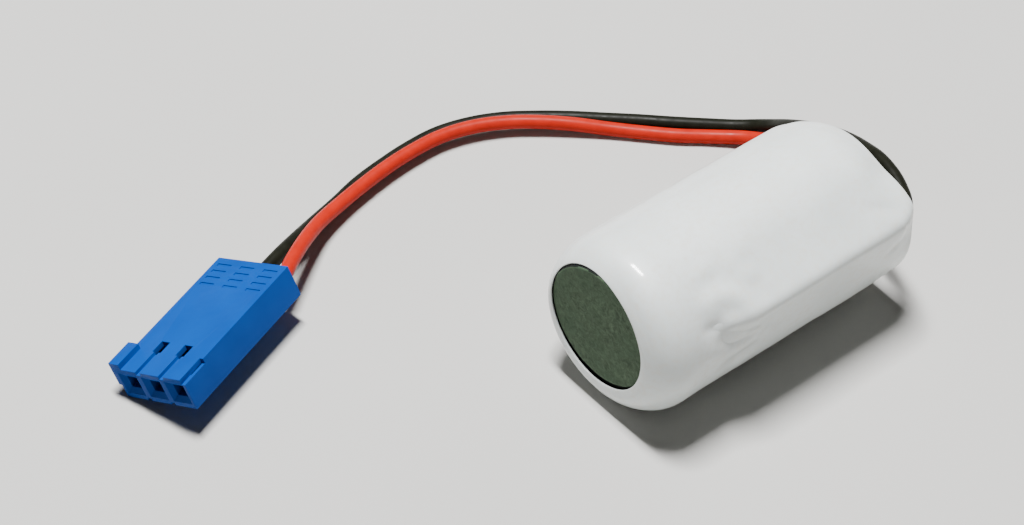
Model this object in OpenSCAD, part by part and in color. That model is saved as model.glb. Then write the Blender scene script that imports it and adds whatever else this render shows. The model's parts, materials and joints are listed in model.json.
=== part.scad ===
// Half-length lithium cell in a shrink sleeve, with two soldered leads and a three-way plug.
// The cell lies on its side along X. Its insulated negative end faces -X, and the leads leave at +X.
// The leads and the plug lie on the same surface as the cell, at z = 0.

/* [Cell] */
// Length of the steel can with its positive cap
cell_length = 24.2; // [24:0.1:25.2]
// Outer radius of the steel can
can_r = 7.0; // [6.95:0.01:7.02]
// Thickness of the can's wall
can_wall = 0.3; // [0.2:0.05:0.4]
// Radius of the rounded edge at the can's closed end
can_round = 1.8; // [1.4:0.1:1.9]
// Thickness of the lithium sheet on the can's wall
anode_t = 0.7; // [0.5:0.1:1]
// Thickness of the separator
separator_t = 0.2; // [0.1:0.05:0.3]
// Radius of the positive cap's button
cap_r = 2.6; // [2:0.1:3]
// Height of the positive cap above the washer
cap_height = 1.2; // [0.9:0.1:1.5]

/* [Sleeve] */
// Thickness of the outer shrink sleeve
sleeve_t = 0.22; // [0.2:0.01:0.23]
// Outer radius of the round part of the sleeve
sleeve_r = 7.45; // [7.45:0.01:7.5]
// Radius of the opening that each lip leaves at the ends
lip_opening_r = 5.4; // [5:0.1:5.6]
// Radius of the sleeve's rounded front edge
sleeve_round = 2.2; // [1.9:0.1:2.3]
// Where the ridge over the hidden lead starts to rise
ridge_start = -7.2; // [-8:0.1:-6]
// Where the ridge reaches its full height
ridge_full = -3.2; // [-3.6:0.1:-3]
// Thickness of each insulating end disc
disc_t = 0.3; // [0.2:0.05:0.4]

/* [Leads] */
// Outer diameter of a lead's insulation
lead_d = 1.25; // [1.2:0.01:1.26]
// Diameter of a lead's bare strands
core_d = 0.4; // [0.35:0.01:0.42]
// Angle of the hidden lead above the horizontal, round the cell's axis
lead_angle = 24; // [15:1:35]

/* [Plug] */
// Distance between two positions
pitch = 2.54; // [2.54:0.01:2.54]
// Number of positions across the housing
positions = 3; // [3:1:3]
// Length of the housing, from the wire side to the mouth
plug_length = 14.0; // [13.9:0.1:14.1]
// Thickness of the housing
plug_t = 2.9; // [2.8:0.05:3.1]
// Plastic outside the outermost positions
plug_margin = 0.015; // [0.01:0.005:0.03]
// Roll of the housing about its own length
plug_roll = 21.5; // [21:0.5:22]
// Direction in which the mouth points, from +X towards +Y
plug_heading = 201.5; // [201:0.5:202]
// Height of the polarising rib
rib_height = 0.5; // [0.4:0.02:0.6]

/* [Hidden] */
$fn = 64;

// Stack along the axis. Each x is measured in the cell's own frame.
// cell_shift moves the cell to the part's frame.
base_x = -cell_length / 2;
base_t = 0.4;
jacket_t = 0.1;
strip_t = 0.1;
jacket_r = can_r + jacket_t;
jacket_front = base_x - jacket_t;
strip_front = jacket_front - strip_t;
front_disc_x = strip_front - disc_t;
sleeve_front = front_disc_x - sleeve_t;
cap_top = cell_length / 2;
cap_t = 0.25;
washer_t = 0.5;
washer_x = cap_top - cap_height - washer_t;
lid_t = 0.8;
lid_x = washer_x - lid_t;
can_end = washer_x;
tab_t = 0.12;
solder_space = core_d + 0.05;
rear_disc_x = cap_top + tab_t + solder_space;
rear_lip_x = rear_disc_x + disc_t;
sleeve_rear = rear_lip_x + sleeve_t;
sleeve_inner_r = sleeve_r - sleeve_t;
// Behind the can's end the sleeve narrows to its rear lip
shoulder_x = can_end + 0.2;
rear_r = 5.9;
rear_full_r = 7.3;
rear_opening_r = 4.9;
// Depth by which the skin's front edge is tucked into the round front's wall
skin_tuck = 0.07;

// The hidden lead rests on the jacket, and the sleeve is drawn tight over it.
lead_r = lead_d / 2;
core_r = core_d / 2;
lead_gap = 0.03;
lead_rho = jacket_r + lead_r + lead_gap;
bump_inner_r = lead_r + lead_gap + 0.01;
bump_r = bump_inner_r + sleeve_t;
run_start = ridge_full + 0.4;

// The part's origin is at the middle of the cell's box, on the surface.
ridge_reach = max(sleeve_r, lead_rho * cos(lead_angle) + bump_r);
cell_shift = [-(sleeve_front + sleeve_rear) / 2, (ridge_reach - sleeve_r) / 2, sleeve_r];

// The free part of the black lead starts inside the rear of the sleeve.
run_end = 10 - cell_shift[0];

// Solder joint between the strip and the black lead, on the side where the lead runs
strip_w = 4;
joint_from = ridge_start + 1.6;
joint_to = run_start - 0.3;

// Red lead's hole in the positive end disc, off the axis towards +Y
red_hole_y = 3.6;
red_core_x = cap_top + tab_t + core_r;

// Housing: its frame has X towards the mouth, Y across the positions and Z up.
plug_w = positions * pitch + 2 * plug_margin;
plug_at = [-34.5, 22.9, plug_w / 2 * sin(plug_roll) + plug_t / 2 * cos(plug_roll)];
cavity_w = 2.0;
wire_end = -plug_length / 2;
mouth = plug_length / 2;
post_hole_w = 1.1;
funnel_depth = 0.3;
front_wall = 1.2;
wire_stop = wire_end + 3.2;
rib_l = 2.6;
rib_w = 1.1;
rib_proud = 0.3;
window_offset = -1.15;
window_w = 0.9;
window_l = 1.25;
window_x = mouth - 3.1;
groove_w = 0.5;
groove_depth = 0.3;
grip_w = 1.5;
grip_l = 0.3;
grip_depth = 0.08;

// Route of each lead's middle, from where it leaves the cell to where it ends in the plug
black_route = [
    [10, -6.85, 10.6], [11.75, -6.7, 10.65], [12.8, -5.95, 10.8], [13.75, -4.35, 11], [14.7, -1.55, 10.95],
    [15.4, 1.3, 10.05], [16.1, 3.95, 8.75], [16.65, 6.5, 7.25], [17, 9.05, 5.6], [17.3, 11.5, 3.85],
    [17.55, 13.8, 2.05], [17.25, 15.25, 1.15], [16.3, 16.55, 0.7], [14.25, 18.4, 0.65], [11.95, 20.4, 0.7],
    [9.8, 22.5, 0.65], [7.5, 24.55, 0.65], [5.25, 26.55, 0.65], [2.85, 28.45, 0.65], [0.35, 30.15, 0.65],
    [-2.4, 31.4, 0.65], [-5.35, 32.1, 0.65], [-8.4, 32.1, 0.65], [-11.4, 31.75, 0.65], [-14.4, 31.2, 0.65],
    [-17.3, 30.3, 0.65], [-20.15, 29.3, 0.95], [-22.75, 27.95, 1.8], [-25.35, 26.6, 2.55],
    [-28.15, 25.4, 2.75], [-30.95, 24.3, 2.75]];
red_route = [
    [12.5, 3.85, 7.45], [14.35, 4, 7.35], [15.45, 4.6, 7], [16.3, 5.7, 6.25], [16.9, 7.8, 4.9],
    [16.95, 10.25, 3.15], [16.55, 12.8, 1.65], [15.55, 15, 0.9], [13.55, 17.05, 0.65], [11.25, 19, 0.65],
    [9.1, 21.15, 0.65], [6.95, 23.3, 0.75], [4.75, 25.3, 1.05], [2.45, 27.25, 1.2], [0, 29, 1.25],
    [-2.75, 30.3, 1.3], [-5.65, 31, 1.3], [-8.7, 31, 1.35], [-11.7, 30.65, 1.4], [-14.65, 30.05, 1.45],
    [-17.55, 29.25, 1.6], [-20.3, 28.15, 2.05], [-22.75, 26.55, 2.85], [-25.1, 24.8, 3.5],
    [-27.3, 23.2, 3.7], [-30.1, 22.1, 3.7]];

// Placement
module in_cell() {
    translate(cell_shift) children();
}

module turned() {
    in_cell() rotate([0, 90, 0]) rotate_extrude() children();
}

module along_x(from, length) {
    in_cell() translate([from, 0, 0]) rotate([0, 90, 0]) linear_extrude(length) children();
}

module on_lead_side() {
    in_cell() rotate([-lead_angle, 0, 0]) children();
}

module on_plug() {
    translate(plug_at) rotate([plug_roll, 0, plug_heading]) children();
}

// Solid barrel's half section: radius r, from x0 to x1, with the edge at x0 rounded
module barrel_section(r, x0, x1, round) {
    translate([0, x0 + round]) square([r, x1 - x0 - round]);
    translate([0, x0]) square([r - round, round]);
    translate([r - round, x0 + round]) circle(round);
}

module ring_section(r_in, r_out, x0, x1) {
    translate([r_in, x0]) square([r_out - r_in, x1 - x0]);
}

module box_at(x0, x1, w, z0, z1, y = 0) {
    translate([x0, y - w / 2, z0]) cube([x1 - x0, w, z1 - z0]);
}

// Tube through a list of points, with eight sides
sides = 8;
function unit(v) = v / norm(v);
function heading(p, i) = unit(p[min(i + 1, len(p) - 1)] - p[max(i - 1, 0)]);
function across(t) = unit(cross(t, [0, 0, 1]));
function tube_ring(p, i, r) =
    let (t = heading(p, i), a = across(t), b = cross(a, t))
    [for (k = [0 : sides - 1]) p[i] + r * (a * sin(360 * k / sides) + b * cos(360 * k / sides))];
function ring_face(i) =
    [for (k = [0 : sides - 1]) [i * sides + k, i * sides + (k + 1) % sides,
                                (i + 1) * sides + (k + 1) % sides, (i + 1) * sides + k]];

module tube(p, r) {
    last = (len(p) - 1) * sides;
    points = [for (i = [0 : len(p) - 1]) each tube_ring(p, i, r)];
    sleeves = [for (i = [0 : len(p) - 2]) each ring_face(i)];
    start = [for (k = [0 : sides - 1]) sides - 1 - k];
    end = [for (k = [0 : sides - 1]) last + k];
    polyhedron(points, concat([start], sleeves, [end]), convexity = 8);
}

// Parts inside the cell
module can() {
    color("silver") turned() difference() {
        barrel_section(can_r, base_x, can_end, can_round);
        barrel_section(can_r - can_wall, base_x + base_t, can_end + 1, can_round - can_wall);
    }
}

anode_r = can_r - can_wall;
separator_r = anode_r - anode_t;
cathode_r = separator_r - separator_t;
insulator_t = 0.4;
core_from = base_x + base_t + can_round - can_wall;
core_to = lid_x - 1.6;
pin_r = 0.5;
collector_r = 0.9;
glass_r = 1.6;

module bottom_insulator() {
    color("ivory") turned()
        ring_section(0, anode_r - can_round, base_x + base_t, base_x + base_t + insulator_t);
}

module lithium_anode() {
    color("lightgray") turned() ring_section(separator_r, anode_r, core_from, core_to);
}

module separator() {
    color("white") turned() ring_section(cathode_r, separator_r, core_from - 0.4, core_to + 0.4);
}

module carbon_cathode() {
    color("#202020") turned() ring_section(collector_r, cathode_r, core_from, core_to - 0.6);
}

module current_collector() {
    color("gray") turned() {
        ring_section(pin_r, collector_r, core_from, core_to);
        ring_section(0, pin_r, core_from, core_to - 2);
    }
}

module top_insulator() {
    color("ivory") turned()
        ring_section(collector_r + 0.05, anode_r - 0.05, core_to + 0.5, core_to + 0.5 + insulator_t);
}

module lid() {
    color("silver") turned() ring_section(glass_r, can_r - can_wall, lid_x, can_end);
}

module glass_seal() {
    color("darkgreen") turned() ring_section(pin_r, glass_r, lid_x, can_end);
}

module positive_pin() {
    color("gray") turned() ring_section(0, pin_r, core_to - 2, cap_top - cap_t);
}

module cap_washer() {
    color("whitesmoke") turned() ring_section(cap_r + 0.5, can_r - 0.5, washer_x, washer_x + washer_t);
}

module positive_cap() {
    color("silver") turned() {
        ring_section(0, cap_r, cap_top - cap_t, cap_top);
        ring_section(cap_r - cap_t, cap_r, washer_x + cap_t, cap_top);
        ring_section(cap_r - cap_t, cap_r + 0.4, washer_x, washer_x + cap_t);
    }
}

module cell_jacket() {
    front_opening_r = 5.4;
    rear_opening_r = 5.8;
    color("gainsboro") turned() difference() {
        barrel_section(jacket_r, jacket_front, can_end + jacket_t, can_round + jacket_t);
        barrel_section(can_r, base_x, can_end, can_round);
        ring_section(0, front_opening_r, jacket_front - 1, base_x + 0.01);
        ring_section(0, rear_opening_r, can_end - 0.01, can_end + 1);
    }
}

// Parts on the cell, under the sleeve
module negative_strip() {
    bend_r = jacket_r + strip_t;
    color("silver") intersection() {
        turned() difference() {
            barrel_section(bend_r, strip_front, joint_to, can_round + jacket_t + strip_t);
            barrel_section(jacket_r, jacket_front, joint_to + 1, can_round + jacket_t);
        }
        on_lead_side() translate([strip_front - 1, -bend_r - 1, -strip_w / 2])
            cube([joint_to - strip_front + 1, bend_r + 3, strip_w]);
    }
    color("silver") in_cell() translate([jacket_front, 0, 0]) rotate([0, 90, 0])
        cylinder(h = jacket_t, r = 1.5);
}

module strip_insulator() {
    from = strip_front + 2.4;
    color("khaki") intersection() {
        turned() ring_section(jacket_r + strip_t, jacket_r + strip_t + 0.02, from, joint_from - 1.2);
        on_lead_side() translate([from, -jacket_r - 1, -strip_w / 2 - 0.4])
            cube([joint_from - 1.2 - from, 2, strip_w + 0.8]);
    }
}

module core_line(from, to) {
    on_lead_side() translate([from, -jacket_r - strip_t - core_r, 0]) rotate([0, 90, 0])
        cylinder(h = to - from, r = core_r);
}

module negative_solder() {
    solder_w = 1.3;
    solder_h = 0.34;
    color("lightsteelblue") difference() {
        intersection() {
            turned() ring_section(jacket_r + strip_t, jacket_r + strip_t + solder_h, joint_from, joint_to - 0.4);
            on_lead_side() translate([joint_from, -jacket_r - 1, -solder_w / 2])
                cube([joint_to - 0.4 - joint_from, 1.5, solder_w]);
        }
        core_line(joint_from - 1, joint_to);
    }
}

module negative_end_disc() {
    color("darkslategray") along_x(front_disc_x, disc_t) circle(jacket_r - sleeve_round + 0.75);
}

module positive_tab() {
    tab_w = 3;
    color("silver") in_cell() translate([cap_top, -1.5, -tab_w / 2]) cube([tab_t, red_hole_y + 1.2, tab_w]);
}

module red_core_line() {
    in_cell() translate([red_core_x, 0.4, 0]) rotate([-90, 0, 0]) cylinder(h = red_hole_y - 0.4, r = core_r);
    in_cell() translate([red_core_x, red_hole_y, 0]) sphere(core_r);
    in_cell() translate([red_core_x, red_hole_y, 0]) rotate([0, 90, 0])
        cylinder(h = rear_disc_x - red_core_x, r = core_r);
}

module positive_solder() {
    color("lightsteelblue") difference() {
        in_cell() translate([cap_top + tab_t, 0.2, -0.8]) cube([0.45, 2.2, 1.6]);
        red_core_line();
    }
}

module positive_end_disc() {
    color("darkslategray") difference() {
        along_x(rear_disc_x, disc_t) circle(rear_r - 0.3);
        along_x(rear_disc_x - 1, disc_t + 2) translate([0, red_hole_y]) circle(lead_r + 0.08);
    }
}

// Shrink sleeve: a round front with a folded lip, then a skin that rises over the lead.
// The skin narrows to the rear.
// Reach of the skin from the cell's axis, at the angle turn from the lead. It is the distance to the outline
// of two circles and their common tangents: radius r on the axis, and radius bump on the lead.
function skin_reach(turn, r, bump) =
    let (side = acos((r - bump) / lead_rho),
         crest = atan2(bump * sin(side), lead_rho + bump * cos(side)))
    turn >= side ? r
    : turn >= crest ? r / cos(turn - side)
    : lead_rho * cos(turn) + sqrt(bump * bump - pow(lead_rho * sin(turn), 2));

skin_half = [0, 1.2, 2.4, 4, 6, 9, 13, 18, 24, 31, 39, 47, 55, 63, 71, 79, 87, 95, 103, 111, 119, 127, 135,
             143, 151, 159, 167, 174];
skin_turns = concat(skin_half, [180], [for (i = [len(skin_half) - 1 : -1 : 1]) 360 - skin_half[i]]);
skin_sides = len(skin_turns);

// Each ring of the skin: x, radius on the axis, radius on the lead, share of the bump, radius below the lead
skin_rings = [
    [ridge_start - 0.3, sleeve_r - skin_tuck, bump_r, 0, sleeve_r - skin_tuck],
    [ridge_start + 0.3, sleeve_r, bump_r, 0, sleeve_r],
    [ridge_full, sleeve_r, bump_r, 1, sleeve_r],
    [shoulder_x, sleeve_r, bump_r, 1, sleeve_r],
    [sleeve_rear, rear_r, bump_r, 1, rear_full_r],
    [sleeve_rear, rear_opening_r, bump_inner_r, 1, rear_opening_r],
    [rear_lip_x, rear_opening_r, bump_inner_r, 1, rear_opening_r],
    [rear_lip_x, rear_r - sleeve_t, bump_inner_r, 1, rear_full_r - sleeve_t],
    [shoulder_x, sleeve_inner_r, bump_inner_r, 1, sleeve_inner_r],
    [ridge_full, sleeve_inner_r, bump_inner_r, 1, sleeve_inner_r],
    [ridge_start + 0.3, sleeve_inner_r, bump_inner_r, 0, sleeve_inner_r],
    [ridge_start - 0.3, sleeve_inner_r + skin_tuck, bump_inner_r, 0, sleeve_inner_r + skin_tuck]];

// The rear stays full on the side below the lead, and is drawn in over the top and the back.
function fullness(angle) =
    let (below = 360 - angle)
    angle < 180 ? max(0, 1 - angle / 30)
    : below < 75 ? 1
    : max(0, 1 - (below - 75) / 60);

// radius is the ring's own radius, and full is what it reaches below the lead
function skin_point(ring, angle) =
    let (turn = min(angle, 360 - angle),
         r = ring[1] + (ring[4] - ring[1]) * fullness(angle),
         reach = r + ring[3] * (skin_reach(turn, r, ring[2]) - r))
    [ring[0], -reach * cos(angle), reach * sin(angle)];

module sleeve_skin() {
    count = len(skin_rings);
    points = [for (ring = skin_rings) each [for (angle = skin_turns) skin_point(ring, angle)]];
    faces = [for (i = [0 : count - 1], k = [0 : skin_sides - 1])
        let (a = i * skin_sides + k,
             b = i * skin_sides + (k + 1) % skin_sides,
             c = ((i + 1) % count) * skin_sides + (k + 1) % skin_sides,
             d = ((i + 1) % count) * skin_sides + k)
        each [[a, b, c], [a, c, d]]];
    polyhedron(points, faces, convexity = 8);
}

module outer_sleeve() {
    color("white") {
        turned() difference() {
            barrel_section(sleeve_r, sleeve_front, ridge_start, sleeve_round);
            barrel_section(sleeve_inner_r, sleeve_front + sleeve_t, ridge_start + 1, sleeve_round - sleeve_t);
            ring_section(0, lip_opening_r, sleeve_front - 1, sleeve_front + sleeve_t + 0.01);
        }
        on_lead_side() sleeve_skin();
    }
}

// Leads
module black_lead_run() {
    color("#22261f") on_lead_side() translate([run_start, -lead_rho, 0]) rotate([0, 90, 0])
        cylinder(h = run_end - run_start, r = lead_r);
}

module black_conductor() {
    color("peru") core_line(joint_from + 0.2, run_start);
}

module red_conductor() {
    color("peru") red_core_line();
}

module crimped_core(position) {
    on_plug() translate([wire_stop, position * pitch, 0]) rotate([0, 90, 0]) cylinder(h = 2.4, r = core_r);
}

module black_crimp_strands() {
    color("peru") crimped_core(0);
}

module red_crimp_strands() {
    color("peru") crimped_core(1);
}

module black_lead() {
    color("#22261f") tube(black_route, lead_r);
}

module red_lead() {
    color("#cc4530") tube(red_route, lead_r);
}

// Plug
module housing_position(y) {
    // Cavity for the contact, and its hole for the post
    box_at(wire_end - 1, mouth - front_wall, cavity_w, -cavity_w / 2, cavity_w / 2, y);
    box_at(wire_end, mouth + 1, post_hole_w, -post_hole_w / 2, post_hole_w / 2, y);
    // Funnel at the mouth
    hull() {
        box_at(mouth - 0.01, mouth + 0.2, cavity_w, -cavity_w / 2, cavity_w / 2, y);
        box_at(mouth - funnel_depth, mouth, post_hole_w + 0.1, -post_hole_w / 2, post_hole_w / 2, y);
    }
}

module housing_window(y) {
    box_at(window_x - window_l / 2, window_x + window_l / 2, window_w, 0, plug_t, y);
    box_at(window_x, mouth + 1, groove_w, plug_t / 2 - groove_depth, plug_t, y);
}

module grip_mark(x, y, top) {
    box_at(x, x + grip_l, grip_w, top - grip_depth, top + 1, y);
}

module connector_housing() {
    left = -plug_w / 2;
    top = plug_t / 2;
    step_w = 0.35;
    step_h = 0.45;
    key_w = 0.4;
    key_depth = 0.22;
    grip_from = 0.7;
    grip_step = 0.8;
    rib_foot = 1.2;
    color("dodgerblue") on_plug() {
        difference() {
            box_at(wire_end, mouth, plug_w, -top, top);
            for (position = [-1 : 1]) housing_position(position * pitch);
            for (position = [0 : 1]) housing_window(position * pitch + window_offset);
            // Step at the side away from the rib, and keying grooves under the mouth
            translate([mouth - rib_l, plug_w / 2 - step_w, top - step_h]) cube([rib_l + 1, 1, 1]);
            for (side = [-0.5, 0.5])
                box_at(mouth - rib_l, mouth + 1, key_w, -top - 1, -top + key_depth, side * pitch);
            for (row = [0 : 3])
                for (column = [-1 : 1])
                    grip_mark(wire_end + grip_from + row * grip_step, column * pitch, top);
        }
        // Polarising rib
        translate([mouth - rib_l, left - rib_proud, rib_foot - top]) cube([rib_l, rib_proud, plug_t - rib_foot]);
        translate([mouth - rib_l, left - rib_proud, top]) cube([rib_l, rib_w, rib_height]);
    }
}

module contact(position) {
    contact_w = 1.6;
    wall = 0.2;
    box_from = 0.6;
    box_to = mouth - front_wall - 0.1;
    floor_z = -contact_w / 2;
    on_plug() translate([0, position * pitch, 0]) {
        difference() {
            box_at(box_from, box_to, contact_w, floor_z, contact_w / 2);
            box_at(box_from - 1, box_to + 1, contact_w - 2 * wall, floor_z + wall, contact_w / 2 - wall);
        }
        box_at(wire_end + 1, box_from, 1.0, floor_z, floor_z + wall);
        difference() {
            union() {
                translate([wire_stop + 0.3, 0, 0]) rotate([0, 90, 0]) cylinder(h = 1.8, r = core_r + wall);
                box_at(wire_stop + 0.3, wire_stop + 2.1, 0.6, floor_z, 0);
            }
            translate([wire_stop - 1, 0, 0]) rotate([0, 90, 0]) cylinder(h = 6, r = core_r);
        }
        difference() {
            translate([wire_end + 1, 0, 0]) rotate([0, 90, 0]) cylinder(h = 1.5, r = lead_r + 0.25);
            translate([wire_end, 0, 0]) rotate([0, 90, 0]) cylinder(h = 6, r = lead_r + 0.08);
        }
    }
}

module black_contact() {
    color("goldenrod") contact(0);
}

module red_contact() {
    color("goldenrod") contact(1);
}

can();
bottom_insulator();
lithium_anode();
separator();
carbon_cathode();
current_collector();
top_insulator();
lid();
glass_seal();
positive_pin();
cap_washer();
positive_cap();
cell_jacket();
negative_strip();
strip_insulator();
negative_solder();
negative_end_disc();
positive_tab();
positive_solder();
positive_end_disc();
outer_sleeve();
black_lead_run();
black_conductor();
red_conductor();
black_lead();
red_lead();
connector_housing();
black_contact();
red_contact();
black_crimp_strands();
red_crimp_strands();
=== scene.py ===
"""Looks of a small lithium cell in a white shrink sleeve, with two leads and a blue three-way plug."""

import json
import math

import bmesh
import bpy
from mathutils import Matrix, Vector, noise

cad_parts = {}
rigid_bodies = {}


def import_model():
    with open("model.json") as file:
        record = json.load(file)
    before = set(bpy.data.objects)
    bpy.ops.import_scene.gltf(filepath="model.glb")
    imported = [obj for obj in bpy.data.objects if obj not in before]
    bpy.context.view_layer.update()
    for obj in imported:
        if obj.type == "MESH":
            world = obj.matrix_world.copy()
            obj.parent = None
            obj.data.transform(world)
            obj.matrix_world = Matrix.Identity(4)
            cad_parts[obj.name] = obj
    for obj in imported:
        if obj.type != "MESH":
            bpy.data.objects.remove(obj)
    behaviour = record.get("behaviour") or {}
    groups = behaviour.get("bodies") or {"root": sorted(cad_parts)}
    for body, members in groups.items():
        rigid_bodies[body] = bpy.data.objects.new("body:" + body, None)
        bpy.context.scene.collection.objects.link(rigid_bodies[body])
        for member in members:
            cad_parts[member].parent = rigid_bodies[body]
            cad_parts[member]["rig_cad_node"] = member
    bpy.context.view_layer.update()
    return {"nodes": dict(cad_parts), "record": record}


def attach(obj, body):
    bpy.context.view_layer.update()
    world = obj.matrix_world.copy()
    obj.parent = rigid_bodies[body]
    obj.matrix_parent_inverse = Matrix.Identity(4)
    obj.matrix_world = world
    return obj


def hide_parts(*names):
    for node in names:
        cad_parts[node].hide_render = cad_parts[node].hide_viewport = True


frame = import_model()

MM = 0.001
BODY = "root"

# ---------------------------------------------------------------- sizes, in millimetres
AXIS_Y, AXIS_Z = 0.26, 7.45           # the cell's axis runs along X through this point
FRONT_X, REAR_X = -13.0, 13.0
SLEEVE_R, SLEEVE_T = 7.45, 0.22
CORNER_X, CORNER_RHO, CORNER_R = -10.48, 5.2, 2.0     # the cell's rounded corner under the film
LEAD_D = 1.25
LEAD_TILT = math.radians(24)          # the hidden lead, above the horizontal on the -Y side
LEAD_RHO = 7.755
BUMP_R = 0.885
BUMP_INNER_R = 0.665
RIDGE_START, RIDGE_FULL = -8.2, -3.7
SHOULDER_X = 9.4
REAR_R, REAR_FULL_R = 5.9, 7.3        # at the rear edge: over the top, and below the lead
REAR_OPENING_R = 4.9

BLACK_ROUTE = [
    (10, -6.85, 10.6), (11.75, -6.7, 10.65), (12.8, -5.95, 10.8), (13.75, -4.35, 11), (14.7, -1.55, 10.95),
    (15.4, 1.3, 10.05), (16.1, 3.95, 8.75), (16.65, 6.5, 7.25), (17, 9.05, 5.6), (17.3, 11.5, 3.85),
    (17.55, 13.8, 2.05), (17.25, 15.25, 1.15), (16.3, 16.55, 0.7), (14.25, 18.4, 0.65),
    (11.95, 20.4, 0.7), (9.8, 22.5, 0.65), (7.5, 24.55, 0.65), (5.25, 26.55, 0.65), (2.85, 28.45, 0.65),
    (0.35, 30.15, 0.65), (-2.4, 31.4, 0.65), (-5.35, 32.1, 0.65), (-8.4, 32.1, 0.65),
    (-11.4, 31.75, 0.65), (-14.4, 31.2, 0.65), (-17.3, 30.3, 0.65), (-20.15, 29.3, 0.95),
    (-22.75, 27.95, 1.8), (-25.35, 26.6, 2.55), (-28.15, 25.4, 2.75), (-30.95, 24.3, 2.75)]
RED_ROUTE = [
    (12.5, 3.85, 7.45), (14.35, 4, 7.35), (15.45, 4.6, 7), (16.3, 5.7, 6.25), (16.9, 7.8, 4.9),
    (16.95, 10.25, 3.15), (16.55, 12.8, 1.65), (15.55, 15, 0.9), (13.55, 17.05, 0.65),
    (11.25, 19, 0.65), (9.1, 21.15, 0.65), (6.95, 23.3, 0.75), (4.75, 25.3, 1.05), (2.45, 27.25, 1.2),
    (0, 29, 1.25), (-2.75, 30.3, 1.3), (-5.65, 31, 1.3), (-8.7, 31, 1.35), (-11.7, 30.65, 1.4),
    (-14.65, 30.05, 1.45), (-17.55, 29.25, 1.6), (-20.3, 28.15, 2.05), (-22.75, 26.55, 2.85),
    (-25.1, 24.8, 3.5), (-27.3, 23.2, 3.7), (-30.1, 22.1, 3.7)]


# ---------------------------------------------------------------- camera
CAMERA_AT = (-86.41, -83.91, 133.49)
CAMERA_AZIMUTH, CAMERA_DIP = math.radians(52.36), math.radians(46.57)
FOCAL_SHARE = 2200 / 1024             # focal length over the picture's width


def make_camera():
    data = bpy.data.cameras.new("camera")
    data.sensor_width = 36
    data.lens = data.sensor_width * FOCAL_SHARE
    data.clip_start, data.clip_end = 0.01, 20
    camera = bpy.data.objects.new("camera", data)
    look = Vector((math.cos(CAMERA_DIP) * math.cos(CAMERA_AZIMUTH),
                   math.cos(CAMERA_DIP) * math.sin(CAMERA_AZIMUTH), -math.sin(CAMERA_DIP)))
    camera.location = Vector(CAMERA_AT) * MM
    camera.rotation_euler = look.to_track_quat("-Z", "Y").to_euler()
    bpy.context.scene.collection.objects.link(camera)
    bpy.context.scene.camera = camera


# ---------------------------------------------------------------- materials
def linear(r, g, b):
    """Linear colour from 0-255 display values."""
    def one(v):
        v /= 255
        return v / 12.92 if v <= 0.04045 else ((v + 0.055) / 1.055) ** 2.4
    return one(r), one(g), one(b), 1


class Material:
    """A node material on a Principled shader, built step by step. Sizes of patterns are in millimetres."""

    def __init__(self, name, roughness, metallic=0.0):
        self.data = bpy.data.materials.new(name)
        self.data.use_nodes = True
        self.nodes, self.links = self.data.node_tree.nodes, self.data.node_tree.links
        self.shader = self.nodes["Principled BSDF"]
        self.shader.inputs["Roughness"].default_value = roughness
        self.shader.inputs["Metallic"].default_value = metallic
        self.place = self.nodes.new("ShaderNodeNewGeometry").outputs["Position"]
        self.normal = None

    def set(self, **values):
        """Sockets by name, such as coat_weight for Coat Weight."""
        for key, value in values.items():
            self.shader.inputs[key.replace("_", " ").title().replace("Ior", "IOR")].default_value = value

    def scaled(self, stretch):
        """The place in space, stretched along X, Y and Z; a larger number makes a pattern finer that way."""
        node = self.nodes.new("ShaderNodeVectorMath")
        node.operation = "MULTIPLY"
        node.inputs[1].default_value = stretch
        self.links.new(self.place, node.inputs[0])
        return node.outputs[0]

    def noise(self, size, detail=4, roughness=0.5, stretch=(1, 1, 1), distortion=0.0):
        """Noise whose blotches are about size millimetres across."""
        node = self.nodes.new("ShaderNodeTexNoise")
        node.inputs["Scale"].default_value = 1 / (size * MM)
        node.inputs["Detail"].default_value = detail
        node.inputs["Roughness"].default_value = roughness
        node.inputs["Distortion"].default_value = distortion
        self.links.new(self.scaled(stretch), node.inputs["Vector"])
        return node.outputs["Fac"]

    def ramp(self, value, *stops):
        """Each stop is a place from 0 to 1, and the colour or grey there."""
        node = self.nodes.new("ShaderNodeValToRGB")
        ramp = node.color_ramp
        while len(ramp.elements) < len(stops):
            ramp.elements.new(0.5)
        for element, (at, colour) in zip(ramp.elements, stops):
            element.position = at
            element.color = colour if hasattr(colour, "__len__") else (colour, colour, colour, 1)
        self.links.new(value, node.inputs["Fac"])
        return node.outputs["Color"]

    def mix(self, share, a, b):
        """share is 0 for a and 1 for b; each may be a value or another node's output."""
        node = self.nodes.new("ShaderNodeMix")
        node.data_type = "RGBA"
        for socket, value in ((node.inputs["Factor"], share), (node.inputs["A"], a), (node.inputs["B"], b)):
            if isinstance(value, bpy.types.NodeSocket):
                self.links.new(value, socket)
            else:
                socket.default_value = value
        return node.outputs["Result"]

    def colour(self, source):
        self.links.new(source, self.shader.inputs["Base Color"])

    def rough(self, value, low, high):
        """Roughness from low to high over the middle of the value's range."""
        self.links.new(self.ramp(value, (0.3, low), (0.7, high)), self.shader.inputs["Roughness"])

    def bump(self, value, height, strength):
        """Adds to the bumps set before; height in millimetres."""
        node = self.nodes.new("ShaderNodeBump")
        node.inputs["Distance"].default_value = height * MM
        node.inputs["Strength"].default_value = strength
        self.links.new(value, node.inputs["Height"])
        if self.normal is not None:
            self.links.new(self.normal, node.inputs["Normal"])
        self.normal = node.outputs["Normal"]
        self.links.new(self.normal, self.shader.inputs["Normal"])


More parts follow.
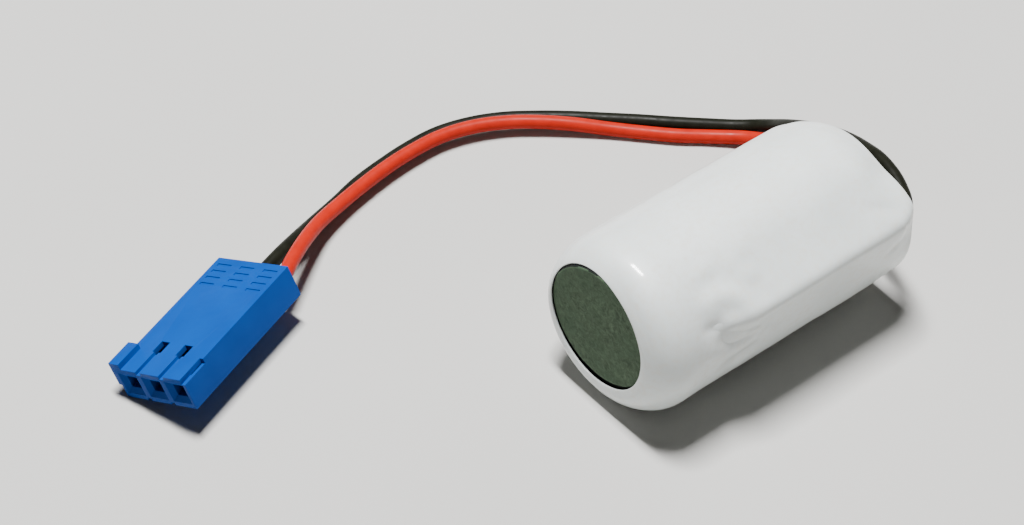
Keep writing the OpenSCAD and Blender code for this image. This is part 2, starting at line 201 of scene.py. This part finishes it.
def sleeve_material():
    m = Material("white_sleeve", roughness=0.45)
    m.set(coat_weight=0.6, coat_roughness=0.12, subsurface_weight=0.06, subsurface_scale=0.0006)
    m.shader.inputs["Subsurface Radius"].default_value = (1.0, 0.95, 0.85)
    broad = m.noise(size=4.5, detail=3)
    film = m.ramp(broad, (0.35, linear(218, 225, 224)), (0.65, linear(225, 231, 230)))
    specks = m.ramp(m.noise(size=0.5, detail=5), (0.45, 0.0), (0.75, 1.0))
    m.colour(m.mix(specks, film, linear(220, 222, 216)))
    m.rough(m.noise(size=1.6, detail=3), low=0.42, high=0.52)
    m.bump(m.noise(size=2.6, detail=2), height=0.08, strength=0.3)
    m.bump(m.noise(size=0.28, detail=3), height=0.004, strength=0.4)
    return m.data


def fibre_material(name, dark, light, fleck):
    m = Material(name, roughness=0.8)
    m.set(specular_ior_level=0.2)
    strands = m.noise(size=0.45, detail=8, roughness=0.7, distortion=0.8)
    cloud = m.noise(size=2.2, detail=3)
    base = m.ramp(strands, (0.3, dark), (0.72, light))
    m.colour(m.mix(m.ramp(cloud, (0.4, 0.0), (0.7, 0.45)), base, fleck))
    m.bump(strands, height=0.06, strength=0.7)
    m.bump(m.noise(size=0.12), height=0.02, strength=0.6)
    return m.data


def insulation_material(name, base, shade, rough):
    m = Material(name, roughness=rough)
    m.set(specular_ior_level=0.09)
    streak = m.noise(size=0.9)
    m.colour(m.ramp(streak, (0.32, shade), (0.68, base)))
    m.rough(m.noise(size=0.5), low=rough - 0.05, high=rough + 0.12)
    m.bump(m.noise(size=0.16), height=0.006, strength=0.6)
    m.bump(m.noise(size=1.3, detail=2), height=0.03, strength=0.3)
    return m.data


def plastic_material(name, base, shade, rough, grain=0.12):
    m = Material(name, roughness=rough)
    m.set(specular_ior_level=0.05)
    cloud = m.noise(size=3.0)
    m.colour(m.ramp(cloud, (0.3, shade), (0.7, base)))
    m.rough(m.noise(size=0.6), low=rough - 0.06, high=rough + 0.1)
    m.bump(m.noise(size=grain), height=0.006, strength=0.6)
    m.bump(m.noise(size=2.0, detail=2), height=0.03, strength=0.35)
    return m.data


def metal_material(name, base, shade, rough, brush=(1, 1, 1)):
    m = Material(name, roughness=rough, metallic=1.0)
    lines = m.noise(size=0.35, detail=6, stretch=brush)
    m.colour(m.ramp(lines, (0.3, shade), (0.7, base)))
    m.rough(lines, low=rough - 0.06, high=rough + 0.12)
    m.bump(lines, height=0.004, strength=0.6)
    return m.data


BRUSHED, ROLLED, STRANDED = (0.1, 1, 1), (0.12, 1, 1), (1, 6, 6)      # metal patterns drawn out along X

MATERIALS = {
    "white_sleeve": sleeve_material(),
    "fibre_board": fibre_material("fibre_board", linear(50, 64, 47), linear(92, 112, 88), linear(60, 83, 62)),
    # Painted shade: near-black fibre on the disc's rim and on the backing, standing for the shadowed recess
    # between the disc and the lip.
    "disc_recess_shade": fibre_material("disc_recess_shade", linear(12, 16, 14), linear(26, 32, 28), linear(16, 20, 18)),
    "black_insulation": insulation_material("black_insulation", linear(26, 27, 20), linear(19, 20, 14), 0.4),
    "red_insulation": insulation_material("red_insulation", linear(174, 32, 16), linear(162, 27, 13), 0.36),
    "blue_plastic": plastic_material("blue_plastic", linear(3, 66, 148), linear(2, 61, 139), 0.42),
    "contact_plating": metal_material("contact_plating", linear(214, 190, 130), linear(188, 160, 100), 0.3),
    "can_steel": metal_material("can_steel", linear(190, 192, 194), linear(168, 170, 172), 0.35, BRUSHED),
    "inner_insulator": plastic_material("inner_insulator", linear(232, 228, 214), linear(220, 214, 198), 0.7),
    "lithium_sheet": metal_material("lithium_sheet", linear(200, 202, 206), linear(176, 178, 182), 0.5),
    "separator_fibre": fibre_material("separator_fibre", linear(226, 222, 210), linear(244, 241, 232),
                                      linear(236, 232, 222)),
    "porous_carbon": plastic_material("porous_carbon", linear(34, 34, 35), linear(22, 22, 23), 0.85, 0.3),
    "collector_nickel": metal_material("collector_nickel", linear(176, 175, 168), linear(150, 149, 142),
                                       0.35),
    "seal_glass": plastic_material("seal_glass", linear(44, 92, 74), linear(34, 76, 60), 0.15),
    "washer_plastic": plastic_material("washer_plastic", linear(238, 238, 235), linear(226, 226, 222), 0.5),
    "cap_steel": metal_material("cap_steel", linear(205, 207, 209), linear(186, 188, 190), 0.22),
    "jacket_film": plastic_material("jacket_film", linear(222, 224, 222), linear(212, 214, 212), 0.35),
    "nickel_strip": metal_material("nickel_strip", linear(186, 184, 176), linear(160, 158, 150), 0.32,
                                   ROLLED),
    "insulating_tape": plastic_material("insulating_tape", linear(198, 150, 58), linear(182, 132, 44), 0.3),
    "solder": metal_material("solder", linear(192, 196, 200), linear(168, 172, 176), 0.25),
    "copper_strands": metal_material("copper_strands", linear(206, 148, 104), linear(182, 120, 78), 0.35,
                                     STRANDED),
}


def dress(piece, slot, *more):
    """Gives a piece its materials; the first names its slot. A piece made here also rides on the part."""
    piece.data.materials.clear()
    for name in (slot, *more):
        piece.data.materials.append(MATERIALS[name])
    if "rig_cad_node" not in piece:
        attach(piece, BODY)


# ---------------------------------------------------------------- mesh helpers
def smooth_step(x, low, high):
    """0 up to low and 1 from high on, with a smooth rise between."""
    t = min(1.0, max(0.0, (x - low) / (high - low)))
    return t * t * (3 - 2 * t)


def grid_mesh(name, rows, closed_rows=False):
    """A mesh from rows of points in mm, each a closed ring. closed_rows joins the last row to the first."""
    mesh = bpy.data.meshes.new(name)
    sides, count = len(rows[0]), len(rows)
    points = [tuple(c * MM for c in p) for row in rows for p in row]
    faces = []
    for i in range(count if closed_rows else count - 1):
        a, b = i * sides, ((i + 1) % count) * sides
        for k in range(sides):
            n = (k + 1) % sides
            faces.append((a + k, a + n, b + n, b + k))
    mesh.from_pydata(points, [], faces)
    mesh.validate()
    mesh.update()
    mesh.polygons.foreach_set("use_smooth", [True] * len(mesh.polygons))
    piece = bpy.data.objects.new(name, mesh)
    bpy.context.scene.collection.objects.link(piece)
    return piece


def fix_normals(piece):
    bm = bmesh.new()
    bm.from_mesh(piece.data)
    bmesh.ops.recalc_face_normals(bm, faces=bm.faces)
    bm.to_mesh(piece.data)
    bm.free()


# ---------------------------------------------------------------- the shrink sleeve
SLEEVE_SIDES = 320
SLEEVE_STATIONS = 118                 # rings between the rounded front and the rear edge
QUARTER_STEPS = 4                     # rings over each rounded edge of the lips
SHOULDER_STEPS = 60                   # rings over the front shoulder

FRONT_SHIFT = -0.05                   # the front plane leans: x changes with Y and Z off the axis
FRONT_LEAN_Y, FRONT_LEAN_Z = -0.05, 0.03
LIP_CENTRE = (0.60, 0.48)             # the front opening's centre, off the axis in Y and Z
LIP_R = 5.25
LIP_OVAL, LIP_OVAL_AT = -0.032, 2.84  # share by which it is oval, and the angle of its narrow way from +Y
LIP_PASSES = 4                        # rounds in which the oval edge's distance from the axis settles
LIP_WAVE, LIP_WAVE_OFTEN = 0.03, 2.0  # unevenness of its edge
LIP_ROUND = 0.07                      # radius of its edge
LIP_INSIDE = ((0.24, 0.12), (0.13, 0.03))     # the turned-in edge: distance behind the lip, and outwards

# How far the front shoulder's rounding reaches inward and back: the mean and the swing in mm, and the
# angle of the least reach in radians round from the ridge.
SHOULDER_INWARD = (2.2, 0.4, 3.32)
SHOULDER_BACK = (3.35, 0.45, 5.61)
FILM_GAP = 0.02                       # from the cell's corner to the film's outside, at the least
FILM_BLEND = 0.35                     # over which the film eases onto the corner

# Degrees round from the ridge between which the rear edge draws in, over the top and below.
REAR_FULL_OVER = (0, 34)
REAR_FULL_BELOW = (70, 140)
REAR_BEND = 1.9                       # the power by which the barrel draws in
REAR_EASE, REAR_EASE_SHARE = 0.11, 0.45       # radius of the rear lip's edges, or a share of its width
REAR_STEP = 0.1                       # from the inside's outline to the back of the rear lip
LAST_STATION = 0.15                   # from the last ring of the barrel to the rear edge

EASE_SAMPLES = (-2, -1, 0, 1, 2)      # where the outline is read to ease its corners, in spreads
EASE_SPREAD = math.radians(1.6)
EASE_FALL = 2.4                       # how slowly the samples' weight falls

# The ridge follows the hidden lead: X, distance from the axis, and degrees of turn from the ridge's side.
LEAD_LINE = [(9.6, LEAD_RHO, 0.0), (11.2, 7.70, 0.5), (12.2, 7.42, 2.3), (13.0, 6.98, 5.0)]

# The inside's rings: their X along the full ridge, at the ridge's start and ahead of it, and how much
# nearer the axis they are than the film's thickness asks.
INSIDE_RIDGED, INSIDE_RIDGED_SLACK = (12.4, 11.4, 10.2, 8.6, 4.0, 0.0, -3.0), 0.02
INSIDE_STARTING, INSIDE_STARTING_SLACK = (-5.2, RIDGE_START), 0.03
INSIDE_PLAIN = -9.0
INSIDE_SHOULDER = slice(-4, 10, -12)  # every twelfth ring of the front's profile, from the back to the lip

# Unevenness of the shrunk film: depth in mm, and how fast it changes per mm along the axis and round it.
# Round the axis, the broad and fine waves go by the unit direction from it instead of mm.
BROAD_DEPTH, BROAD_ALONG, BROAD_ROUND = 0.06, 0.16, 1.3
FINE_DEPTH, FINE_ALONG, FINE_ROUND = 0.02, 0.5, 4
RIPPLE_DEPTH, RIPPLE_ALONG, RIPPLE_ROUND = 0.17, 0.7, 0.65
RIPPLE_WIDTH = 5.0                    # the ripples beside the ridge's start: how far round they reach,
RIPPLE_IN, RIPPLE_OUT = (-9.5, -6.5), (-3.5, -0.5)    # and the X between which they come in and go out
SWELL_IN = 1.6                        # over which the unevenness comes in behind the front shoulder
SWELL_OUT = (1.2, 0.2)                # distances from the rear edge between which it goes out

CREASES = [  # x and arc from the ridge's line at both ends, depth, width, all in mm
    (-8.9, 0.5, -6.8, 0.0, 0.14, 0.5),
    (-7.6, -0.8, -3.4, -2.4, 0.30, 0.85),
    (-8.4, 2.4, -4.4, 1.7, -0.13, 0.9),
    (-8.0, 3.9, -5.4, 3.4, 0.07, 0.7),
    (-7.6, -4.3, -3.0, -4.0, 0.14, 0.8),
    (-9.8, -2.4, -7.4, -3.8, 0.12, 0.6),
    (8.6, 2.4, 11.6, 0.9, 0.09, 0.5),
    (9.4, -2.6, 12.0, -1.3, 0.08, 0.5),
    (9.2, 8.0, 11.8, 7.4, 0.06, 0.6),
    (9.0, 14.0, 11.6, 14.6, 0.06, 0.7),
    (9.4, 20.0, 11.8, 19.4, 0.05, 0.7),
    (9.2, -9.6, 11.8, -9.0, 0.06, 0.6),
    (9.0, -16.0, 11.6, -16.6, 0.05, 0.7)]
CREASE_TIP = 0.05                     # share of the half wave of a crease's depth that each end leaves out


def around(angle):
    """Unit direction in (Y, Z) at an angle from the hidden lead's side, which goes up over the top."""
    a = math.pi - LEAD_TILT - angle
    return math.cos(a), math.sin(a)


def quarter():
    """1 - sine and 1 - cosine of the angles over a rounded edge."""
    turns = [math.pi / 2 * step / QUARTER_STEPS for step in range(QUARTER_STEPS + 1)]
    return [(1 - math.sin(turn), 1 - math.cos(turn)) for turn in turns]


def lead_turn(angle):
    """Unsigned angle from the hidden lead's side, for an angle that starts there."""
    return min(angle % (2 * math.pi), -angle % (2 * math.pi))


def lead_line(x):
    """The lead's distance from the axis and its turn from the ridge's side, which change near the rear."""
    if x <= LEAD_LINE[0][0]:
        return LEAD_LINE[0][1], 0.0
    for (x0, rho0, turn0), (x1, rho1, turn1) in zip(LEAD_LINE, LEAD_LINE[1:]):
        if x <= x1:
            t = (x - x0) / (x1 - x0)
            return rho0 + t * (rho1 - rho0), math.radians(turn0 + t * (turn1 - turn0))
    return LEAD_LINE[-1][1], math.radians(LEAD_LINE[-1][2])


def outline(turn, r, bump, rho):
    """Distance from the axis to the outline of two circles and their common tangents."""
    side = math.acos((r - bump) / rho)
    crest = math.atan2(bump * math.sin(side), rho + bump * math.cos(side))
    if turn >= side:
        return r
    if turn >= crest:
        return r / math.cos(turn - side)
    return rho * math.cos(turn) + math.sqrt(bump ** 2 - (rho * math.sin(turn)) ** 2)


def soft_outline(x, angle, r, bump):
    """The outline with its corners eased, as the shrunk film bridges them."""
    rho, shift = lead_line(x)
    turn = lead_turn(angle - shift)
    total, weight = 0.0, 0.0
    for step in EASE_SAMPLES:
        w = math.exp(-step * step / EASE_FALL)
        total += w * outline(abs(turn + step * EASE_SPREAD), r, bump, rho)
        weight += w
    return total / weight


def rear_radius(angle):
    """The radius at the rear edge: full below the lead, and drawn in over the top and the back."""
    above = math.degrees(angle)
    below = 360 - above
    if above < 180:
        full = 1 - smooth_step(above, *REAR_FULL_OVER)
    else:
        full = 1 - smooth_step(below, *REAR_FULL_BELOW)
    return REAR_R + (REAR_FULL_R - REAR_R) * full


def barrel_radius(x, angle):
    """The sleeve's radius away from the ridge."""
    drawn_in = SLEEVE_R - rear_radius(angle)
    return SLEEVE_R - drawn_in * max(0.0, (x - SHOULDER_X) / (REAR_X - SHOULDER_X)) ** REAR_BEND


def crease_depth(x, arc):
    """Depth of the creases at a place on the film, which fades away from each crease's line."""
    depth = 0.0
    for x0, a0, x1, a1, deep, wide in CREASES:
        dx, da = x1 - x0, a1 - a0
        t = min(1.0, max(0.0, ((x - x0) * dx + (arc - a0) * da) / (dx * dx + da * da)))
        gap = math.hypot(x - x0 - t * dx, arc - a0 - t * da)
        fade = math.sin(math.pi * (t * (1 - 2 * CREASE_TIP) + CREASE_TIP))
        depth += deep * fade * math.exp(-(gap / wide) ** 2)
    return depth


def skin_swell(x, angle):
    """Small unevenness of the shrunk film, in mm. Added numbers only pick another part of the noise."""
    arc = (angle if angle < math.pi else angle - 2 * math.pi) * SLEEVE_R
    y, z = around(angle)
    broad = noise.noise(Vector((x * BROAD_ALONG, y * BROAD_ROUND, z * BROAD_ROUND + 5)))
    fine = noise.noise(Vector((x * FINE_ALONG + 9, y * FINE_ROUND, z * FINE_ROUND)))
    ripple = noise.noise(Vector((x * RIPPLE_ALONG, arc * RIPPLE_ROUND, 3.3)))
    beside = math.exp(-(arc / RIPPLE_WIDTH) ** 2)
    near_ridge = beside * smooth_step(x, *RIPPLE_IN) * (1 - smooth_step(x, *RIPPLE_OUT))
    waves = BROAD_DEPTH * broad + FINE_DEPTH * fine + RIPPLE_DEPTH * near_ridge * ripple
    return waves - crease_depth(x, arc)


def front_plane(y, z):
    """Where the leaning front plane is, at a point off the axis."""
    return FRONT_X + FRONT_SHIFT + FRONT_LEAN_Y * y + FRONT_LEAN_Z * z


def opening_reach(dy, dz):
    """Distance from the axis to the oval opening's edge."""
    cy, cz = LIP_CENTRE
    along = cy * dy + cz * dz
    reach = LIP_R
    for _ in range(LIP_PASSES):
        t = math.atan2(reach * dz - cz, reach * dy - cy)
        r = LIP_R * (1 + LIP_OVAL * math.cos(2 * (t - LIP_OVAL_AT)))
        reach = along + math.sqrt(r * r - (cy * cy + cz * cz - along * along))
    return reach + LIP_WAVE * noise.noise(Vector((dy * LIP_WAVE_OFTEN, dz * LIP_WAVE_OFTEN, 1.7)))


def front_reach(angle):
    """How far the front's rounding reaches inward and back, which the shrinking left uneven."""
    return [mean - swing * math.cos(angle - least) for mean, swing, least in (SHOULDER_INWARD, SHOULDER_BACK)]


def over_corner(x, rho):
    """Keeps the film outside the cell's rounded corner."""
    ahead = min(CORNER_R, max(0.0, CORNER_X - x))
    corner = CORNER_RHO + math.sqrt(CORNER_R ** 2 - ahead ** 2)
    share = min(1.0, max(0.0, 0.5 + 0.5 * (corner + FILM_GAP - rho) / FILM_BLEND))
    return rho + share * (corner + FILM_GAP - rho) + FILM_BLEND * share * (1 - share)


def front_profile(angle):
    """Points (x, distance from the axis) of the front lip, from inside the opening to the barrel."""
    dy, dz = around(angle)
    opening = opening_reach(dy, dz)
    inward, back = front_reach(angle)

    def face_x(rho):
        over = min(1.0, max(0.0, rho - (SLEEVE_R - inward)) / inward)
        return front_plane(rho * dy, rho * dz) + back * (1 - math.sqrt(1 - over * over))

    base = face_x(opening + LIP_ROUND)
    points = [(base + behind, opening + outwards) for behind, outwards in LIP_INSIDE]
    points += [(base + LIP_ROUND * back_by, opening + LIP_ROUND * out_by) for back_by, out_by in quarter()]
    start = math.asin(max(0.0, (opening + LIP_ROUND - SLEEVE_R + inward) / inward))
    for step in range(1, SHOULDER_STEPS + 1):
        turn = start + (math.pi / 2 - start) * step / SHOULDER_STEPS
        rho = SLEEVE_R - inward * (1 - math.sin(turn))
        x = face_x(rho)
        points.append((x, over_corner(x, rho)))
    return points


def rear_profile(angle):
    """Points (x, distance from the axis) of the rear lip and of the inside, back to the front."""
    outer = soft_outline(REAR_X, angle, rear_radius(angle), BUMP_R)
    hole = soft_outline(REAR_X, angle, REAR_OPENING_R, BUMP_INNER_R)
    inner = soft_outline(REAR_X, angle, rear_radius(angle) - SLEEVE_T, BUMP_INNER_R)
    ease = min(REAR_EASE, (outer - hole) * REAR_EASE_SHARE)
    points = [(REAR_X - ease * by_sine, outer - ease * by_cosine) for by_sine, by_cosine in quarter()[1:]]
    points += [(REAR_X - ease * by_cosine, hole + ease * by_sine) for by_sine, by_cosine in quarter()]
    points.append((REAR_X - SLEEVE_T, hole))
    points.append((REAR_X - SLEEVE_T, max(inner - REAR_STEP, hole)))
    for x in INSIDE_RIDGED:
        r = barrel_radius(x, angle) - SLEEVE_T
        points.append((x, soft_outline(x, angle, r, BUMP_INNER_R) - INSIDE_RIDGED_SLACK))
    r = SLEEVE_R - SLEEVE_T
    for x in INSIDE_STARTING:
        share = smooth_step(x, RIDGE_START, RIDGE_FULL)
        ridge = share * (soft_outline(x, angle, r, BUMP_INNER_R) - r)
        points.append((x, r + ridge - INSIDE_STARTING_SLACK))
    points.append((INSIDE_PLAIN, r))
    points += [(x + SLEEVE_T, rho - SLEEVE_T) for x, rho in front_profile(angle)[INSIDE_SHOULDER]]
    return points


def make_sleeve():
    """One closed skin: a column of points at each angle, out over the barrel and back along the inside."""
    columns = []
    end = REAR_X - LAST_STATION
    for k in range(SLEEVE_SIDES):
        angle = 2 * math.pi * k / SLEEVE_SIDES
        column = front_profile(angle)
        start = column[-1][0]
        for i in range(1, SLEEVE_STATIONS + 1):
            x = start + (end - start) * i / SLEEVE_STATIONS
            r = barrel_radius(x, angle)
            share = smooth_step(x, RIDGE_START, RIDGE_FULL)
            rho = r + share * (soft_outline(x, angle, r, BUMP_R) - r)
            fade_in = smooth_step(x, start, start + SWELL_IN)
            fade_out = 1 - smooth_step(x, *[REAR_X - before for before in SWELL_OUT])
            column.append((x, rho + fade_in * fade_out * skin_swell(x, angle)))
        column += rear_profile(angle)
        dy, dz = around(angle)
        columns.append([(x, AXIS_Y + rho * dy, AXIS_Z + rho * dz) for x, rho in column])
    rows = [[column[i] for column in columns] for i in range(len(columns[0]))]
    sleeve = grid_mesh("shrink_sleeve", rows, closed_rows=True)
    fix_normals(sleeve)
    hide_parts("outer_sleeve")
    dress(sleeve, "white_sleeve")


# ---------------------------------------------------------------- the front fibre disc
DISC_CENTRE = (0.41, 0.68)            # off the axis in Y and Z
DISC_R = 5.23
DISC_RECESS = 0.17                    # behind the front plane
DISC_SIDES = 128
DISC_RINGS = 22                       # over the face
DISC_ROUGH, DISC_ROUGH_OFTEN = 0.03, 0.8      # unevenness of the face
DISC_WAVE, DISC_WAVE_OFTEN = 0.006, 3         # share by which its outline wanders
DISC_RIM = (                          # the worn rim: change of radius, depth behind the face, unevenness; its rings below the face carry painted shade
    (-0.07, 0.01, 0.01), (-0.02, 0.05, 0.0), (0.0, 0.11, 0.0), (-0.02, 0.22, 0.0))
DISC_SHADE_DEPTH = 0.03                # depth from which the rim and the backing are painted dark, as painted shade of the recess
# A dark backing behind the disc, showing round it as painted shade of the recess; its radius and depths.
SHADE_BACKING_R, SHADE_BACKING_DEPTHS = 5.9, (0.22, 0.3)
MIDDLE_R = 0.001                      # a ring so small that its points weld into one
WELD = 0.01                           # points nearer than this become one


def disc_ring(r, depth, centre, rough):
    """One ring of the disc, at a depth behind its face. Added numbers pick another part of the noise."""
    ring = []
    for k in range(DISC_SIDES):
        a = 2 * math.pi * k / DISC_SIDES
        turn = Vector((math.cos(a) * DISC_WAVE_OFTEN, math.sin(a) * DISC_WAVE_OFTEN, 7.7))
        wave = 1 + DISC_WAVE * noise.noise(turn)
        y = centre[0] + r * wave * math.cos(a)
        z = centre[1] + r * wave * math.sin(a)
        lift = rough * noise.noise(Vector((y * DISC_ROUGH_OFTEN, z * DISC_ROUGH_OFTEN, 2.2)))
        ring.append((front_plane(y, z) + DISC_RECESS + depth + lift, AXIS_Y + y, AXIS_Z + z))
    return ring


def make_front_disc():
    """A pressed fibre disc with a worn rim, set on a backing that shows round it; the rim below the face and
    the backing are coloured near-black as painted shade of the recess.
    """
    radii = [max(MIDDLE_R, DISC_R * i / DISC_RINGS) for i in range(DISC_RINGS)]
    rows = [disc_ring(r, 0.0, DISC_CENTRE, DISC_ROUGH) for r in radii]
    rows += [disc_ring(DISC_R + more, depth, DISC_CENTRE, rough) for more, depth, rough in DISC_RIM]
    rows += [disc_ring(SHADE_BACKING_R, depth, (0.0, 0.0), 0.0) for depth in SHADE_BACKING_DEPTHS]
    rows.append(disc_ring(MIDDLE_R, SHADE_BACKING_DEPTHS[-1], (0.0, 0.0), 0.0))
    disc = grid_mesh("front_fibre_disc", rows)
    bm = bmesh.new()
    bm.from_mesh(disc.data)
    bmesh.ops.remove_doubles(bm, verts=bm.verts, dist=WELD * MM)
    bmesh.ops.recalc_face_normals(bm, faces=bm.faces)
    bm.to_mesh(disc.data)
    bm.free()
    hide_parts("negative_end_disc")
    # The second slot is painted shade, for the rim below the face and the backing.
    dress(disc, "fibre_board", "disc_recess_shade")
    # Faces deeper than the shade depth take the painted-shade slot.
    for face in disc.data.polygons:
        x, y, z = (c / MM for c in face.center)
        depth = x - front_plane(y - AXIS_Y, z - AXIS_Z) - DISC_RECESS
        face.material_index = 1 if depth > DISC_SHADE_DEPTH else 0


# ---------------------------------------------------------------- the leads
HANDLE_PART = 2.85                    # a handle is the step to the next point divided by this


def lead_curve(name, route):
    """A round lead on one smooth line through the route's points."""
    data = bpy.data.curves.new(name, "CURVE")
    data.dimensions = "3D"
    data.bevel_depth = LEAD_D / 2 * MM
    data.bevel_resolution = 7
    data.resolution_u = 8
    data.use_fill_caps = True
    spline = data.splines.new("BEZIER")
    points = [Vector(p) * MM for p in route]
    spline.bezier_points.add(len(points) - 1)
    for i, (point, here) in enumerate(zip(spline.bezier_points, points)):
        before, after = points[max(i - 1, 0)], points[min(i + 1, len(points) - 1)]
        back, ahead = (here - before).length, (after - here).length
        if back == 0:
            slope = (after - here) / ahead
        elif ahead == 0:
            slope = (here - before) / back
        else:
            slope = ((here - before) / back * ahead + (after - here) / ahead * back) / (back + ahead)
        slope.normalize()
        point.handle_left_type = point.handle_right_type = "FREE"
        point.co = here
        point.handle_left = here - slope * back / HANDLE_PART
        point.handle_right = here + slope * ahead / HANDLE_PART
    lead = bpy.data.objects.new(name, data)
    bpy.context.scene.collection.objects.link(lead)
    return lead


def make_leads():
    black = lead_curve("black_lead_tube", BLACK_ROUTE)
    red = lead_curve("red_lead_tube", RED_ROUTE)
    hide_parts("black_lead")
    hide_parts("red_lead")
    dress(black, "black_insulation")
    dress(red, "red_insulation")
    return black, red


# ---------------------------------------------------------------- the plug
MOULDED_EASE = 0.09
MOULDED_STEPS = 3
FLAT_ANGLE, SHARP_ANGLE = math.radians(2), math.radians(30)   # faces joined below, and edges eased above
SEAM_WELD = 0.002                     # points nearer than this become one


def make_housing():
    """The housing's own shape with its moulded edges eased."""
    source = frame["nodes"]["connector_housing"]
    mesh = source.data.copy()
    mesh.name = "plug_housing"
    housing = bpy.data.objects.new("plug_housing", mesh)
    bpy.context.scene.collection.objects.link(housing)
    bm = bmesh.new()
    bm.from_mesh(mesh)
    bmesh.ops.remove_doubles(bm, verts=bm.verts, dist=SEAM_WELD * MM)
    bmesh.ops.dissolve_limit(bm, angle_limit=FLAT_ANGLE, verts=bm.verts, edges=bm.edges)
    bm.to_mesh(mesh)
    bm.free()
    mesh.polygons.foreach_set("use_smooth", [True] * len(mesh.polygons))
    bevel = housing.modifiers.new("moulded_edges", "BEVEL")
    bevel.width = MOULDED_EASE * MM
    bevel.segments = MOULDED_STEPS
    bevel.limit_method = "ANGLE"
    bevel.angle_limit = SHARP_ANGLE
    bevel.harden_normals = True
    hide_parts("connector_housing")
    dress(housing, "blue_plastic")
    return housing


# ---------------------------------------------------------------- floor and light, in metres and watts
FLOOR_HALF = 1.5
WORLD_STRENGTH = 0.06
LIGHT_AT = (0.0, 0.09, 0.48)
LIGHT_SIZE = (0.05, 0.15)
LIGHT_POWER = 7.2


def make_floor():
    mesh = bpy.data.meshes.new("floor")
    corners = [(x * FLOOR_HALF, y * FLOOR_HALF, 0) for x, y in ((-1, -1), (1, -1), (1, 1), (-1, 1))]
    mesh.from_pydata(corners, [], [(0, 1, 2, 3)])
    floor = bpy.data.objects.new("floor", mesh)
    bpy.context.scene.collection.objects.link(floor)
    m = Material("floor", roughness=0.9)
    cloud = m.noise(size=60, detail=2)
    m.colour(m.ramp(cloud, (0.4, linear(189, 188, 185)), (0.6, linear(192, 191, 188))))
    m.set(specular_ior_level=0.1)
    mesh.materials.append(m.data)


def area_light(name, place, size, power):
    """A soft rectangle of light that faces the origin."""
    data = bpy.data.lights.new(name, "AREA")
    data.shape = "RECTANGLE"
    data.size, data.size_y = size
    data.energy = power
    light = bpy.data.objects.new(name, data)
    light.location = place
    light.rotation_euler = (-Vector(place)).to_track_quat("-Z", "Y").to_euler()
    bpy.context.scene.collection.objects.link(light)


def make_light():
    world = bpy.data.worlds.new("studio")
    world.use_nodes = True
    background = world.node_tree.nodes["Background"]
    background.inputs["Color"].default_value = (1, 1, 1, 1)
    background.inputs["Strength"].default_value = WORLD_STRENGTH
    bpy.context.scene.world = world
    area_light("overhead", LIGHT_AT, LIGHT_SIZE, LIGHT_POWER)


# ---------------------------------------------------------------- the scene
make_camera()
black, red = make_leads()
make_sleeve()
make_front_disc()
housing = make_housing()
for entry in frame["record"]["subparts"]:
    node = frame["nodes"][entry["node"]]
    if not node.hide_render:
        dress(node, entry["material_slot"])

make_floor()
make_light()

bpy.context.view_layer.update()
